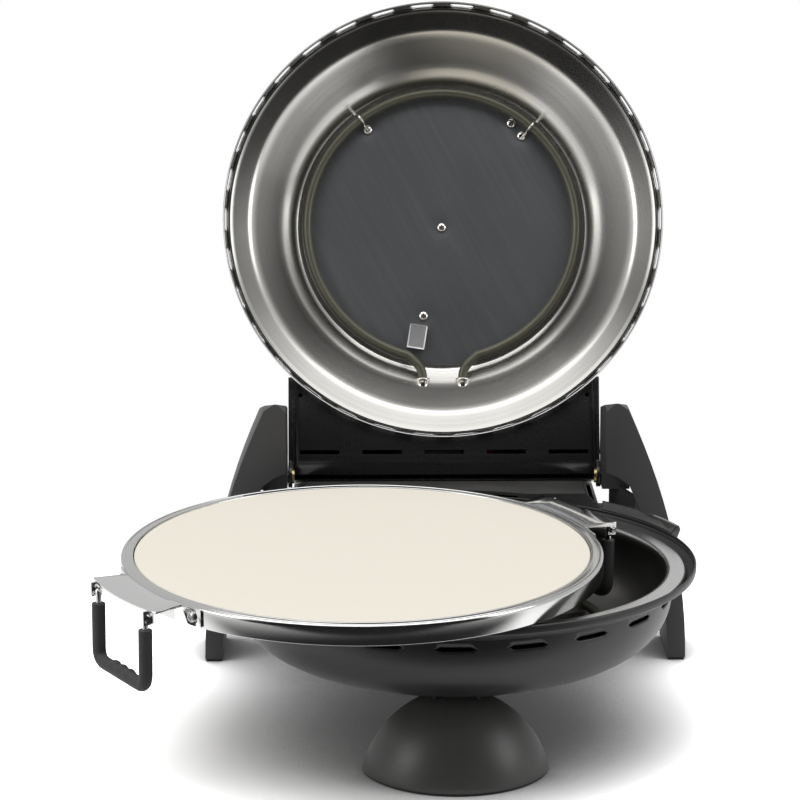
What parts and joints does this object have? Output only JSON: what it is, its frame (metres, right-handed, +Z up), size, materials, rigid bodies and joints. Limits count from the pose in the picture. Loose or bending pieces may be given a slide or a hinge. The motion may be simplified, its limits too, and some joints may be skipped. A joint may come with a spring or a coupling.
{
  "type": "electric pizza maker",
  "caption": "Countertop pizza maker: bowl base on a domed foot and rear legs, hinged domed lid with heating element, and a lift-off baking stone in a steel tray with wire handles.",
  "frame": {"origin": "middle of the front foot's pad, on the ground", "axes": "+X to the right and +Z up seen from the front, +Y towards the hinge at the back"},
  "size_m": [0.4227, 0.5931, 0.483],
  "materials": {
    "bowl_paint": "satin charcoal paint",
    "polished_steel": "polished stainless steel",
    "satin_steel": "satin stainless steel",
    "dark_steel": "dark grey satin steel with faint streaks",
    "element_steel": "olive-grey oxidised tube",
    "nickel": "bright nickel plate",
    "zinc": "zinc-plated screw",
    "black_sheet": "gloss black sheet metal",
    "leg_plastic": "matte charcoal plastic",
    "foot_plastic": "satin charcoal plastic",
    "black_plastic": "matte black plastic",
    "grip_rubber": "matte black rubber",
    "pad_rubber": "matte black rubber",
    "cordierite": "matte cream baking stone",
    "mineral_wool": "pressed mineral fibre",
    "bushing_brass": "plain brass",
    "terminal_ceramic": "matte white ceramic",
    "pilot_red": "clear red lens"
  },
  "bodies": {
    "base": {"bowl_shell": "bowl_paint", "base_reflector": "satin_steel", "insulation_pad": "mineral_wool", "lower_element": "element_steel", "lower_sleeves": "nickel", "element_supports": "satin_steel", "support_screws": "zinc", "front_foot": "foot_plastic", "foot_pad": "pad_rubber", "foot_bolt": "zinc", "left_leg": "leg_plastic", "right_leg": "leg_plastic", "leg_pads": "pad_rubber", "leg_screws": "zinc", "rear_housing": "black_plastic", "housing_cover": "black_plastic", "housing_screws": "zinc", "collar_wings": "black_sheet", "hinge_pins": "zinc", "power_inlet": "black_plastic", "terminal_block": "terminal_ceramic"},
    "lid": {"lid_shell": "satin_steel", "lid_reflector": "polished_steel", "lid_plate": "dark_steel", "lid_insulation": "mineral_wool", "upper_element": "element_steel", "upper_sleeves": "nickel", "element_clips": "nickel", "plate_screws": "nickel", "thermostat_clip": "satin_steel", "hinge_box_panel": "black_sheet", "hinge_box_cover": "black_sheet", "hinge_arms": "black_sheet", "hinge_bushes": "bushing_brass", "arm_screws": "zinc", "lid_handle": "black_plastic", "handle_posts": "polished_steel", "thermostat": "zinc", "pilot_lens": "pilot_red"},
    "thermostat_knob": {"thermostat_knob": "black_plastic"},
    "tray": {"tray_ring": "polished_steel", "pizza_stone": "cordierite", "tray_brackets": "polished_steel", "bracket_screws": "zinc"},
    "left_bail": {"left_bail_wire": "polished_steel", "left_bail_grip": "grip_rubber"},
    "right_bail": {"right_bail_wire": "polished_steel", "right_bail_grip": "grip_rubber"}
  },
  "joints": [
    {"name": "lid_hinge", "type": "hinge", "parent": "base", "child": "lid", "pos_m": [0, 0.3125, 0.1323], "axis": [1, 0, 0], "range_deg": [0, 107.8]},
    {"name": "thermostat_turn", "type": "hinge", "parent": "lid", "child": "thermostat_knob", "pos_m": [0, 0.37159, 0.13643], "axis": [0, 0.9521, -0.3057], "range_deg": [0, 270]},
    {"name": "tray_lift_off", "type": "slide", "parent": "base", "child": "tray", "axis": [-0.9077, -0.2432, 0.342], "range_m": [0, 0.42]},
    {"name": "left_bail_swing", "type": "hinge", "parent": "tray", "child": "left_bail", "pos_m": [-0.21844, -0.02183, 0.13254], "axis": [0.5299, -0.8478, -0.0188], "range_deg": [-100, 45]},
    {"name": "right_bail_swing", "type": "hinge", "parent": "tray", "child": "right_bail", "pos_m": [0.09364, 0.17314, 0.13686], "axis": [-0.5299, 0.8478, 0.0188], "range_deg": [-25, 45]}
  ],
  "couplings": [
    {"joint": "tray_lift_off", "follows": "lid_hinge", "m_per_rad": 0.22}
  ]
}
